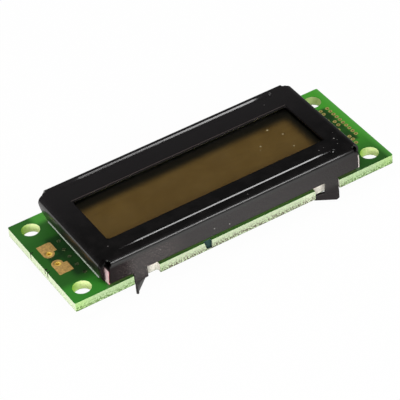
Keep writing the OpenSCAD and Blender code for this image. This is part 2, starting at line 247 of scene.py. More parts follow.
def makeWorld(s):
    scene.world = bpy.data.worlds.new("whiteSweepStudio")
    scene.world.use_nodes = True
    tree = scene.world.node_tree
    tree.nodes.clear()
    place = addNode(tree, "ShaderNodeTexCoord").outputs["Generated"]
    height = addNode(tree, "ShaderNodeSeparateXYZ", [place]).outputs["Z"]
    dark = addNode(tree, "ShaderNodeMapRange", [height, 0.0, s["overheadFrom"], s["horizon"], s["overhead"]])
    # white for the camera, dark in reflections, and an even light on everything matte
    seen = addNode(tree, "ShaderNodeMix", {0: lightPathMask(tree, "Is Camera Ray"), 2: dark, 3: 1.0})
    mirrored = lightPathMask(tree, "Is Camera Ray", "Is Glossy Ray", "Is Transmission Ray")
    level = addNode(tree, "ShaderNodeMix", {0: mirrored, 2: s["ambient"], 3: seen})
    sky = addNode(tree, "ShaderNodeBackground", ["#ffffff", level])
    addNode(tree, "ShaderNodeOutputWorld", [sky])


def makeSoftboxes(boxes):
    for name, box in boxes.items():
        data = bpy.data.lights.new(name, "AREA")
        data.shape = "RECTANGLE"
        data.size, data.size_y = box["size"]
        data.energy = box["power"]
        lamp = bpy.data.objects.new(name, data)
        scene.collection.objects.link(lamp)
        lamp.location = box["place"]
        lamp.rotation_mode = "QUATERNION"
        lamp.rotation_quaternion = (-Vector(box["place"])).to_track_quat("-Z", "Y")


makeFloor(studio)
makeWorld(studio)
makeSoftboxes(softboxes)
scene.view_settings.view_transform = "Standard"

print("bezel: stamped sheet with window, grooves, bent walls and lock tabs")
bezel = dict(
    top=4.30, sheet=0.35, edgeRound=0.05, edgeSteps=2,
    flat=(-21.62, 21.38, 9.75),  # left, right and half depth of the flat top, where the bends start
    relief=0.27, reliefSteps=5, reliefProfile=0.12,  # the cut that frees each corner for bending
    window=(-19.2, 18.8, -5.6, 5.1), windowR=0.55, windowSteps=8,
    groove=(-19.5, 18.9, 8.85, 0.73), grooveEndSteps=12,  # ends, distance from the middle, half width
    # front and rear: widths and slopes of the rim and of the straight flank, then the radius of the bottom
    grooveForm=((((0.06, 10.0), (0.05, 28.0), (0.11, 50.0)), 0.85),
                (((0.06, 10.0), (0.05, 28.0), (0.17, 50.0)), 1.2)),
    grooveSteps=9, grooveLevel=0.5,  # the steps of the bottom, and the part of a step that stays level
    longR=0.60, longSteps=6, shoulder=0.30, wallFoot=0.45, wallEnds=(-21.64, 21.75), leftFoot=-21.94,
    endR=1.30, endSteps=10, pastBend=0.25, leftBulge=7.2, rightBulge=40.0, bulgeSteps=8,
    endFoot=0.15, footR=0.30, footSteps=3,
    leftEdges=(-9.75, 9.3), rightEdges=(-9.1, 9.3),  # front and rear edge of each end wall
    lean=(0.6, 1.3), leanFrom=3.0,  # how far the left wall's edges draw in towards its foot
    flatAngle=0.5, smoothAngle=32, roundAngle=50,  # degrees
)
lockTab = dict(
    x=16.8, width=2.3, neckSteps=8, footHeight=0.9,
    room=(3.2, 3.0),  # half width and depth of the space that holds one tab and nothing else below the wall
    tipWidth=0.4, tipRound=0.16, tipSteps=4,  # the small round tip of the left tabs
    chamfer=0.4,  # the outer corner of the right tabs
    toeFrom=-1.8, toeSlack=0.25, toe=(0.2, 1.45), toePast=1.2,  # the foot's inner edge, drawn out in two steps
    toeBack=0.85, toeDroop=(0.15, 0.25), toeRound=0.25, toeSteps=3,
    right=dict(neck=(-1.05, -2.3), twist=33.0, pivot=0.0, drop=3.4, tip=0.0),
    left=dict(neck=(-1.4, -2.35), twist=42.0, pivot=0.8, drop=3.5, tip=0.3),
)


def addRectangle(x0, x1, y0, y1, z, radius, segments, profile=0.5):
    bpy.ops.mesh.select_all(action="DESELECT")
    middle = metres(((x0 + x1) / 2, (y0 + y1) / 2, z))
    bpy.ops.mesh.primitive_plane_add(size=mm, location=middle)
    bpy.ops.transform.resize(value=(x1 - x0, y1 - y0, 1), center_override=middle)
    roundCorners(radius, segments, profile)


def sinkGroove(b, side, rim, radius):
    # a stadium face, inset and lowered ring by ring: first the rim and flank, then the round bottom
    x0, x1, y, half = b["groove"]
    addRectangle(x0, x1, side * y - half, side * y + half, b["top"], half, b["grooveEndSteps"])
    bpy.ops.mesh.remove_doubles(threshold=onLine * mm)
    bottom = half
    for width, slope in rim:
        bpy.ops.mesh.inset(thickness=width * mm, depth=-width * math.tan(math.radians(slope)) * mm)
        bottom -= width
    for i in range(b["grooveSteps"]):
        w0, w1 = (bottom * (1 - k / (b["grooveSteps"] + b["grooveLevel"])) for k in (i, i + 1))
        drop = math.sqrt(radius ** 2 - w1 ** 2) - math.sqrt(radius ** 2 - w0 ** 2)
        bpy.ops.mesh.inset(thickness=(w0 - w1) * mm, depth=-drop * mm, use_even_offset=True)


def bendLongWall(piece, b):
    # the front wall: bend, shoulder and wall, with its ends moved to their places below the bend
    top, (left, right, half) = b["top"], b["flat"]
    bendEnd = top - b["longR"]
    pick(piece, "EDGE", lambda p: abs(p.y + half) < onLine)
    spinEdges(90, b["longSteps"], (0, -half, bendEnd), (1, 0, 0))
    extrudeBy(z=-b["shoulder"])
    extrudeBy(z=-(bendEnd - b["shoulder"] - b["wallFoot"]))
    below = bendEnd - b["shoulder"] / 2
    pick(piece, "VERT", lambda p: p.z < below and p.x < 0)
    moveBy(x=b["wallEnds"][0] - (left + b["relief"]))
    pick(piece, "VERT", lambda p: p.z < below and p.x > 0)
    moveBy(x=b["wallEnds"][1] - (right - b["relief"]))
    pick(piece, "VERT", lambda p: p.z < b["wallFoot"] + onLine and p.x < 0)
    moveBy(x=b["leftFoot"] - b["wallEnds"][0])


def addTab(piece, b, t, side, tab):
    middle, half = side * t["x"], t["width"] / 2
    neckTop, neckEnd = tab["neck"]
    wallY = b["flat"][2] + b["longR"]
    axis = (middle + side * tab["pivot"], -(wallY - b["sheet"] / 2), 0)
    low = -tab["drop"]
    turn = math.radians(-side * tab["twist"])
    along = Vector((-side * math.cos(turn), -side * math.sin(turn), 0))  # the way the toe points
    near = lambda p: abs(p.x - middle) < t["room"][0] and p.y < -wallY + t["room"][1]
    reach = lambda p: (p - Vector(axis)).dot(along) - tab["pivot"]  # from the stem's middle towards the toe
    # stem and twisted neck
    pick(piece, "EDGE", lambda p: abs(p.z - b["wallFoot"]) < onLine and abs(p.x - middle) < half + onLine
         and p.y < -wallY + onLine)
    extrudeBy(z=neckTop - b["wallFoot"])
    for _ in range(t["neckSteps"]):
        extrudeBy(z=(neckEnd - neckTop) / t["neckSteps"])
        turnAbout(axis, -side * tab["twist"] / t["neckSteps"])
    # foot, and on the left tabs the tip at its outer corner
    extrudeBy(z=low + t["footHeight"] - neckEnd)
    extrudeBy(z=-t["footHeight"])
    if tab["tip"]:
        cut = Vector(axis) + along * (tab["pivot"] - half + t["tipWidth"])
        pick(piece, "FACE", lambda p: near(p) and p.z < low + t["footHeight"] + onLine)
        bpy.ops.mesh.bisect(plane_co=tuple(cut * mm), plane_no=tuple(along), threshold=cutHair)
        pick(piece, "EDGE", lambda p: near(p) and p.z < low + onLine and reach(p) < -half + t["tipWidth"] + onLine)
        extrudeBy(z=-tab["tip"])
        bpy.ops.mesh.select_mode(type="VERT")
        roundCorners(t["tipRound"], t["tipSteps"])
    else:
        pick(piece, "VERT", lambda p: near(p) and p.z < low + onLine and reach(p) < -half + onLine)
        roundCorners(t["chamfer"], 1)
    # toe: the foot's inner edge drawn out under the board, its back sloping down to a round end
    pick(piece, "EDGE", lambda p: near(p) and p.z < t["toeFrom"] and reach(p) > half - t["toeSlack"])
    for step in t["toe"]:
        extrudeBy(x=along.x * step, y=along.y * step)
    past = half + t["toePast"]
    pick(piece, "VERT", lambda p: near(p) and p.z > low + t["toeBack"] and reach(p) > past)
    bpy.ops.mesh.merge(type="CENTER")
    pick(piece, "VERT", lambda p: near(p) and p.z > low + t["toeBack"] and reach(p) > past)
    back, down = t["toeDroop"]
    moveBy(x=-along.x * back, y=-along.y * back, z=-down)
    pick(piece, "VERT", lambda p: near(p) and p.z < low + onLine and reach(p) > past)
    roundCorners(t["toeRound"], t["toeSteps"])


def bendEndWall(piece, b, side, x, bulge, edges):
    # bend, then the bulge down to the foot, and both edges moved to their places
    top, half = b["top"], b["flat"][2]
    bendEnd = top - b["endR"]
    foot = bendEnd - b["endFoot"]
    angle = math.asin(foot / bulge)
    pick(piece, "EDGE", lambda p: abs(p.x - x) < onLine and abs(p.z - top) < onLine)
    spinEdges(side * 90, b["endSteps"], (x, 0, bendEnd), (0, 1, 0))
    spinEdges(side * math.degrees(angle), b["bulgeSteps"], (x + side * (b["endR"] - bulge), 0, bendEnd), (0, 1, 0))
    wide = half - b["relief"]
    onWall = lambda p: (p.x - x) * side > b["pastBend"]
    for start, edge in zip((-wide, wide), edges):
        pick(piece, "VERT", lambda p: onWall(p) and abs(p.y - start) < onLine)
        moveBy(y=edge - start)
    if side < 0:
        for step in range(1, b["bulgeSteps"] + 1):
            row = bendEnd - bulge * math.sin(step / b["bulgeSteps"] * angle)
            down = max(0, (b["leanFrom"] - row) / (b["leanFrom"] - b["endFoot"]))
            for way, lean in zip((1, -1), b["lean"]):
                pick(piece, "VERT", lambda p: onWall(p) and abs(p.z - row) < onLine and p.y * way < 0)
                moveBy(y=way * lean * down)
    pick(piece, "VERT", lambda p: onWall(p) and abs(p.z - b["endFoot"]) < onLine)
    roundCorners(b["footR"], b["footSteps"])


def makeBezel(b, t):
    piece = startPiece("bezel_sheet")
    top, (left, right, half) = b["top"], b["flat"]
    for side, (rim, radius) in zip((-1, 1), b["grooveForm"]):
        sinkGroove(b, side, rim, radius)
    # window and outline as bare loops, then one fill between all of them
    addRectangle(*b["window"], top, b["windowR"], b["windowSteps"])
    bpy.ops.mesh.delete(type="ONLY_FACE")
    addRectangle(left, right, -half, half, top, b["relief"], b["reliefSteps"], b["reliefProfile"])
    bpy.ops.mesh.delete(type="ONLY_FACE")
    pick(piece, "EDGE", lambda p: abs(p.z - top) < onLine)
    bpy.ops.mesh.fill(use_beauty=True)
    bpy.ops.mesh.dissolve_limited(angle_limit=math.radians(b["flatAngle"]))
    bendLongWall(piece, b)
    for x in (-t["x"], t["x"]):
        for edge in (-t["width"] / 2, t["width"] / 2):
            bpy.ops.mesh.select_all(action="SELECT")
            bpy.ops.mesh.bisect(plane_co=((x + edge) * mm, 0, 0), plane_no=(1, 0, 0), threshold=cutHair)
    addTab(piece, b, t, 1, t["right"])
    addTab(piece, b, t, -1, t["left"])
    # the rear wall is the front one mirrored
    pick(piece, "FACE", lambda p: p.y < -half + onLine or p.z < t["right"]["neck"][0] - onLine)
    bpy.ops.mesh.duplicate()
    bpy.ops.transform.resize(value=(1, -1, 1), center_override=(0, 0, 0))
    bendEndWall(piece, b, -1, left, b["leftBulge"], b["leftEdges"])
    bendEndWall(piece, b, 1, right, b["rightBulge"], b["rightEdges"])
    bpy.ops.mesh.select_all(action="SELECT")
    bpy.ops.mesh.remove_doubles(threshold=onLine * mm)
    bpy.ops.mesh.normals_make_consistent(inside=False)
    bpy.ops.object.mode_set(mode="OBJECT")
    topFace = max(piece.data.polygons, key=lambda face: face.area)
    if topFace.normal.z < 0:
        piece.data.flip_normals()
    applyModifier(piece, "SOLIDIFY", thickness=b["sheet"] * mm, offset=-1, use_even_offset=True, thickness_clamp=0)
    applyModifier(piece, "BEVEL", width=b["edgeRound"] * mm, segments=b["edgeSteps"], limit_method="ANGLE",
                  angle_limit=math.radians(b["roundAngle"]), use_clamp_overlap=False, harden_normals=False)
    smoothPiece(piece, b["smoothAngle"])
    applyModifier(piece, "WEIGHTED_NORMAL", keep_sharp=True)
    return piece


bezelSheet = makeBezel(bezel, lockTab)
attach(bezelSheet, "root")
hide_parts("bezel")

print("materials")
# in the finishes a zone is (left, right, front, rear, soft width) and a spot (x, y, z, radius, strength); two
# heights or places say where a change begins and where it is complete, a span says the same of a noise
# pattern, and a share is the strength that the change reaches
blackCoat = dict(
    # the rear tone is a painted sheen: the top is painted lighter towards the rear
    colour="#080707", thin="#121010", rearSheenTone="#1d1b1c", wallTone="#1b1415",
    smearAndGlintColour="#8d7f7c", dustColour="#a8a4a0",
    peel=0.35, peelDepth=0.0010, peelStrength=0.5, film=1.6, grit=0.15,  # sizes of waves, thin places and pores
    ior=1.5, roughness=(0.11, 0.15), bendRough=0.31, exportCoatRough=0.2,
    satinSpan=(0.35, 0.65), thinSpan=(0.4, 0.7),
    flat=(-30, 30, -9.85, 9.85, 0.25), bendHeights=(3.5, 3.3), wallHeights=(3.7, 3.0), rearSheenFrom=(-4, 8),
    # the cut edges at the window and at the left corner are bare of the skin's shine
    cutEdges=((-19.3, 18.9, -5.7, 5.2, 0.03), (-23.2, -21.8, -9.9, -8.95, 0.05)),
    # a painted highlight: a pale line along the rear lip of the window, in the colour that the rubbed patch also
    # uses
    rearLipGlint=(-19.3, 18.9, 5.2, 5.3, 0.03), rearLipGlintShare=0.3,
    dullEnd=(-26.0, -18.2, -14.0, -9.9, 2.0), dullShare=1.8,
    tabHeights=(0.3, -1.2), tabShare=0.6,
    poreSpan=(0.35, 0.65), poreShare=(0.1, 0.5),
    shine=(0.5, 0.1), lacquer=(0.6, 0.0),  # where the skin is whole and where it is bare
    # the rubbed, dusty patch near the left end of the front wall, a long spot
    handled=(-15.0, -10.35, 1.9, 6.5, 0.75), handledShape=(1, 6, 1.6), handledSpan=(0.55, 0.70),
    dust=((20.20, -6.23, 4.3, 0.13, 0.9), (19.97, -7.58, 4.3, 0.10, 0.4), (20.43, -6.79, 4.3, 0.09, 0.3),
          (16.79, -7.29, 4.3, 0.13, 0.3), (17.71, -7.16, 4.3, 0.09, 0.3), (20.84, -4.94, 4.3, 0.08, 0.25),
          (18.66, 9.10, 4.3, 0.10, 0.4), (16.27, 7.21, 4.3, 0.10, 0.25), (-19.92, -6.94, 4.3, 0.10, 0.5),
          (-3.98, -10.35, 1.67, 0.11, 0.9), (-1.38, -10.35, 1.24, 0.12, 1.0), (-13.20, -10.35, 2.47, 0.12, 0.6),
          (-14.53, -10.35, 2.65, 0.09, 0.5), (-13.83, -10.35, 2.59, 0.08, 0.4), (-5.89, -10.2, 4.15, 0.11, 0.8),
          (-4.87, -10.2, 4.11, 0.07, 0.5), (2.84, -9.06, 4.0, 0.12, 0.6), (4.27, -8.55, 4.1, 0.10, 0.7),
          (-14.97, -8.4, 4.1, 0.09, 0.7)),
)


def makeBlackCoat(c):
    # steel stamped and then dip coated in black: a satin skin, dark seen from above and mirror-like at a low angle
    material, tree, place = startMaterial("black dip coat on stamped steel")
    peel = addNode(tree, "ShaderNodeTexNoise", {"Vector": place, "Scale": 1 / (c["peel"] * mm), "Detail": 2.0})
    film = addNode(tree, "ShaderNodeTexNoise", {"Vector": place, "Scale": 1 / (c["film"] * mm), "Detail": 4.0})
    grit = addNode(tree, "ShaderNodeTexNoise", {"Vector": place, "Scale": 1 / (c["grit"] * mm), "Detail": 1.0})
    axes = addNode(tree, "ShaderNodeSeparateXYZ", [place]).outputs
    onWall = addNode(tree, "ShaderNodeMapRange", [axes["Z"], *metres(c["wallHeights"]), 0, 1])
    # satin on the flat face, dull where the sheet is bent and on the walls
    level = zoneMask(tree, place, *c["flat"])
    satin = addNode(tree, "ShaderNodeMapRange", [film, *c["satinSpan"], *c["roughness"]])
    bent = addNode(tree, "ShaderNodeMix", {0: level, 2: c["bendRough"], 3: satin})
    below = addNode(tree, "ShaderNodeMapRange", [axes["Z"], *metres(c["bendHeights"]), 0, c["bendRough"]])
    rough = joinMasks(tree, "MAXIMUM", [bent, below])
    # the film is thinner in places, brownish on the walls, handled and dusty; the top is painted lighter towards
    # the rear, a painted sheen, and a painted highlight runs along the window's rear lip
    thin = addNode(tree, "ShaderNodeMapRange", [film, *c["thinSpan"], 0, 1])
    rearSheen = addNode(tree, "ShaderNodeMapRange", [axes["Y"], *metres(c["rearSheenFrom"]), 0, 1])
    # the pale line along the window's rear lip is a painted highlight
    worn = joinMasks(tree, "MULTIPLY", [zoneMask(tree, place, *c["rearLipGlint"]), c["rearLipGlintShare"]])
    patch = spotMask(tree, place, [c["handled"]], c["handledShape"])
    grains = addNode(tree, "ShaderNodeMapRange", [grit, *c["handledSpan"], 0, 1])
    rubbed = joinMasks(tree, "MULTIPLY", [patch, onWall, grains])
    dust = spotMask(tree, place, c["dust"])
    colour = paintLayers(tree, c["colour"], (thin, c["thin"]), (rearSheen, c["rearSheenTone"]), (onWall, c["wallTone"]),
                         (worn, c["smearAndGlintColour"]), (rubbed, c["smearAndGlintColour"]), (dust, c["dustColour"]))
    # bare cut edges, tabs duller towards their feet, and grainy walls with a dull left end
    cuts = [zoneMask(tree, place, *zone) for zone in c["cutEdges"]]
    tabs = addNode(tree, "ShaderNodeMapRange", [axes["Z"], *metres(c["tabHeights"]), 0, c["tabShare"]])
    pores = addNode(tree, "ShaderNodeMapRange", [grit, *c["poreSpan"], *c["poreShare"]])
    dull = joinMasks(tree, "MULTIPLY", [zoneMask(tree, place, *c["dullEnd"]), c["dullShare"]])
    grainy = joinMasks(tree, "MULTIPLY", [joinMasks(tree, "MAXIMUM", [pores, dull]), onWall])
    bare = joinMasks(tree, "MAXIMUM", [*cuts, tabs, grainy])
    shine = addNode(tree, "ShaderNodeMapRange", [bare, 0, 1, *c["shine"]])
    lacquer = addNode(tree, "ShaderNodeMapRange", [bare, 0, 1, *c["lacquer"]])
    bump = addNode(tree, "ShaderNodeBump", {"Strength": c["peelStrength"], "Distance": c["peelDepth"] * mm,
                                            "Height": peel})
    shader = addNode(tree, "ShaderNodeBsdfPrincipled", {
        "Base Color": colour, "Roughness": rough, "IOR": c["ior"], "Specular IOR Level": shine,
        "Coat Weight": lacquer, "Coat Roughness": rough, "Normal": bump})
    shader.inputs["Coat Roughness"].default_value = c["exportCoatRough"]  # the export drops the link
    addNode(tree, "ShaderNodeOutputMaterial", [shader])
    return material


boardFinish = dict(
    # solder mask: its colour from left to right, darker to the front as painted shade, darker over copper, where
    # the zones beside the bezel's ends are painted shade too, and in some places
    maskLeft="#296020", maskRight="#49a630", maskCopperAndShade="#162b17", maskRim="#5eb24a", maskRough=0.26, ior=1.52,
    toRight=(-20, 24), toFront=(0, -10.5), frontShade=0.80, rimFrom=(26.9, 28), rimShare=0.6,
    tones=(((-29.0, -22.0, -10.9, -6.6, 0.8), "#35852a"), ((-29.0, -21.0, 5.5, 11.0, 1.5), "#316b27"),
           ((-24.3, -21.4, 8.4, 11.0, 0.7), "#52a83e")),
    # the copper zones beside the bezel's ends are painted shade as well as copper under the mask
    copper=((-24.9, -20.0, -5.4, 4.5, 0.6), (-26.5, -24.0, -0.6, 0.7, 0.35), (20.0, 26.25, -3.9, 5.6, 0.4)),
    cloud=3.0, cloudSpan=(0.3, 0.7), copperShade=(0.64, 0.88),
    darkest=(24.6, 26.15, 2.3, 4.0, 0.3), darkestShare=0.6,
    # laminate: pale fibres, whiter at the left end and along the front, with torn glass ends lower down
    laminate="#c5deae", laminateGreen="#98be78", laminateWhite="#ced8ba", laminateEnd="#b3d889", whiteEnd="#e4efcd",
    laminateFoot="#5c7a3a", laminateBrown="#5a5040", edgeRough=0.75,
    thickness=1.6, sideFrom=(0.775, 0.765),  # from the middle of the thickness, a hair inside both faces
    fibre=(0.5, 0.10), fibreSpan=(0.4, 0.62), grit=0.27, chipSpan=(0.4, 0.6), chipShare=(0.5, 1.0),
    leftFrom=(-27.9, -27.99), leftShare=0.9, endsFrom=(24.2, 27), endsShare=0.9,
    whiter=(-13.5, 18.5, -14.0, -7.0, 2.0), whiterShare=(0.3, 1.0),
    tornSpan=(0.45, 0.55), tornShare=(0.12, 1.9), tornPower=2.0,
    # notches, holes, the small recess in the front edge and the slits in the left one; the recess and the slits are
    # painted dark, a painted shade in them
    notch=(13.4, 18.4, 9.2, 10.45, 0.05), notchWall="#e4e0d4", notchTorn=0.25,
    notchSide=(11.6, 13.3, -10.6, -9.9, 0.5),
    hole=(25.4, 7.9375, 0), holeReach=(1.6, 1.55), holeWall="#f4ffbc", holeDeep="#98cc40", holeFacing=(-0.6, 0.7),
    recess=(-6.15, -4.55, -10.46, -9.9, 0.05), recessShade="#1d403c",
    slits=(-1.35, -2.1, 3.2), slitHalf=0.17, slitDepth=(-27.98, -27.5), slitSoft=0.015, slitShade="#1b1e12",
    weave=0.45, weaveDepth=0.004, weaveStrength=0.08, edgeDepth=0.06, edgeStrength=0.7,
)


def paintMask(tree, place, b):
    axes = addNode(tree, "ShaderNodeSeparateXYZ", [place]).outputs
    toRight = addNode(tree, "ShaderNodeMapRange", [axes["X"], *metres(b["toRight"]), 0, 1],
                      interpolation_type="SMOOTHSTEP")
    toFront = addNode(tree, "ShaderNodeMapRange", [axes["Y"], *metres(b["toFront"]), 0, b["frontShade"]],
                      interpolation_type="SMOOTHSTEP")
    shade = joinMasks(tree, "MULTIPLY", [toFront, toRight])
    tones = [(zoneMask(tree, place, *zone), tone) for zone, tone in b["tones"]]
    cloud = addNode(tree, "ShaderNodeTexNoise", {"Vector": place, "Scale": 1 / (b["cloud"] * mm), "Detail": 3.0})
    uneven = addNode(tree, "ShaderNodeMapRange", [cloud, *b["cloudSpan"], *b["copperShade"]])
    # darker over copper, and beside the bezel's ends painted shade
    areas = joinMasks(tree, "MAXIMUM", [zoneMask(tree, place, *zone) for zone in b["copper"]])
    copper = joinMasks(tree, "MULTIPLY", [areas, uneven])
    darkest = joinMasks(tree, "MULTIPLY", [zoneMask(tree, place, *b["darkest"]), b["darkestShare"]])
    rim = addNode(tree, "ShaderNodeMapRange", [axes["X"], *metres(b["rimFrom"]), 0, b["rimShare"]])
    return paintLayers(tree, b["maskLeft"], (toRight, b["maskRight"]), (shade, b["maskCopperAndShade"]), *tones,
                       (copper, b["maskCopperAndShade"]), (darkest, b["maskCopperAndShade"]), (rim, b["maskRim"]))


def paintEdge(tree, place, chips, b):
    axes = addNode(tree, "ShaderNodeSeparateXYZ", [place]).outputs
    folded = addNode(tree, "ShaderNodeVectorMath", [place], operation="ABSOLUTE")
    fromMiddle = addNode(tree, "ShaderNodeSeparateXYZ", [folded]).outputs["X"]
    # fibres drawn out along the edge, whiter at the left end and along the right part of the front edge
    along, down = b["fibre"]
    drawn = addNode(tree, "ShaderNodeMapping", {"Vector": place,
                                                "Scale": [1 / (size * mm) for size in (along, along, down)]})
    fibres = addNode(tree, "ShaderNodeTexNoise", {"Vector": drawn, "Scale": 1.0, "Detail": 4.0, "Roughness": 0.65})
    pale = addNode(tree, "ShaderNodeMapRange", [fibres, *b["fibreSpan"], 0, 1])
    leftEnd = addNode(tree, "ShaderNodeMapRange", [axes["X"], *metres(b["leftFrom"]), 0, b["leftShare"]])
    rightPart = zoneMask(tree, place, *b["whiter"])
    whiter = addNode(tree, "ShaderNodeMapRange", [joinMasks(tree, "MAXIMUM", [leftEnd, rightPart]), 0, 1,
                                                  *b["whiterShare"]])
    flakes = addNode(tree, "ShaderNodeMapRange", [chips, *b["chipSpan"], *b["chipShare"]])
    white = joinMasks(tree, "MULTIPLY", [whiter, flakes])
    ends = addNode(tree, "ShaderNodeMapRange", [fromMiddle, *metres(b["endsFrom"]), 0, b["endsShare"]])
    notchSide = zoneMask(tree, place, *b["notchSide"])
    notch = zoneMask(tree, folded, *b["notch"])
    # torn glass ends show as specks, more of them lower down and few in the notches, green left and brown right
    depth = addNode(tree, "ShaderNodeMapRange", [axes["Z"], 0, -b["thickness"] * mm, 0, 1])
    low = addNode(tree, "ShaderNodeMath", [depth, b["tornPower"]], operation="POWER")
    more = addNode(tree, "ShaderNodeMapRange", [low, 0, 1, *b["tornShare"]])
    specks = addNode(tree, "ShaderNodeMapRange", [chips, *b["tornSpan"], 0, 1])
    notLeft = addNode(tree, "ShaderNodeMath", [1.0, leftEnd], operation="SUBTRACT")
    few = addNode(tree, "ShaderNodeMapRange", [notch, 0, 1, 1, b["notchTorn"]])
    torn = joinMasks(tree, "MULTIPLY", [more, specks, notLeft, few])
    tornColour = paintLayers(tree, b["laminateFoot"], (rightPart, b["laminateBrown"]))
    # light comes through the laminate on the right side of each hole
    flatWay = addNode(tree, "ShaderNodeVectorMath", [folded, (1, 1, 0)], operation="MULTIPLY")
    holeWay = addNode(tree, "ShaderNodeVectorMath", [flatWay, metres(b["hole"])], operation="DISTANCE")
    hole = addNode(tree, "ShaderNodeMapRange", [holeWay, *metres(b["holeReach"]), 0, 1])
    facing = addNode(tree, "ShaderNodeNewGeometry").outputs["True Normal"]
    facingX = addNode(tree, "ShaderNodeSeparateXYZ", [facing]).outputs["X"]
    lit = addNode(tree, "ShaderNodeMapRange", [facingX, *b["holeFacing"], 0, 1])
    holeColour = paintLayers(tree, b["holeWall"], (lit, b["holeDeep"]))
    # painted shade: the recess and the slits are painted dark
    recess = zoneMask(tree, place, *b["recess"])
    slits = [(zoneMask(tree, place, *b["slitDepth"], middle - b["slitHalf"], middle + b["slitHalf"], b["slitSoft"]),
              b["slitShade"]) for middle in b["slits"]]
    return paintLayers(tree, b["laminateGreen"], (pale, b["laminate"]), (white, b["laminateWhite"]),
                       (ends, b["laminateEnd"]), (leftEnd, b["whiteEnd"]), (notchSide, b["whiteEnd"]),
                       (notch, b["notchWall"]), (torn, tornColour), (hole, holeColour),
                       (recess, b["recessShade"]), *slits)


def makeBoard(b):
    # glass-epoxy laminate under green solder mask: glossy and a little see-through above, with pale fibrous edges
    material, tree, place = startMaterial("green solder mask on routed glass-epoxy laminate")
    chips = addNode(tree, "ShaderNodeTexNoise", {"Vector": place, "Scale": 1 / (b["grit"] * mm), "Detail": 3.0,
                                                 "Roughness": 0.7})
    height = addNode(tree, "ShaderNodeSeparateXYZ", [place]).outputs["Z"]
    fromMiddle = addNode(tree, "ShaderNodeMath", [height, b["thickness"] / 2 * mm], operation="ADD")
    away = addNode(tree, "ShaderNodeMath", [fromMiddle], operation="ABSOLUTE")
    side = addNode(tree, "ShaderNodeMapRange", [away, *metres(b["sideFrom"]), 0, 1])
    colour = paintLayers(tree, paintMask(tree, place, b), (side, paintEdge(tree, place, chips, b)))
    rough = addNode(tree, "ShaderNodeMapRange", [side, 0, 1, b["maskRough"], b["edgeRough"]])
    weave = addNode(tree, "ShaderNodeTexChecker", {"Vector": place, "Scale": 1 / (b["weave"] * mm)})
    skin = addNode(tree, "ShaderNodeBump", {"Strength": b["weaveStrength"], "Distance": b["weaveDepth"] * mm,
                                            "Height": weave.outputs["Fac"]})
    ragged = joinMasks(tree, "MULTIPLY", [chips, side])
    relief = addNode(tree, "ShaderNodeBump", {"Strength": b["edgeStrength"], "Distance": b["edgeDepth"] * mm,
                                              "Height": ragged, "Normal": skin})
    shader = addNode(tree, "ShaderNodeBsdfPrincipled", {"Base Color": colour, "Roughness": rough, "IOR": b["ior"],
                                                        "Normal": relief})
    addNode(tree, "ShaderNodeOutputMaterial", [shader])
    return material


elastomer = dict(
    side="#ef9fa8", deep="#d17480", ends="#ffdcdd", rightEndsLit="#fff6f0", shade="#120e0e", core="#5b4a4c",
    grain=0.12, grainSpan=(0.3, 0.7), grainDepth=0.01, grainStrength=0.4, roughness=0.6, ior=1.41,
    stripe=1.13, waveTurn=20,  # coarser than the real stripes, so that they show; the wave's radians to a unit
    middle=8.9, coreHalf=(0.3, 0.25),  # where the core lies across the strips
    cutFacing=(0.5, 0.6), litFlankFrom=(21.5, 21.7), litFlankShare=0.9, creamFrom=(-1, 1),
    shadeHeights=(2.35, 2.55), shadeFrom=(20.8, 21.2),  # the sheet keeps the light off the top of the ends
)


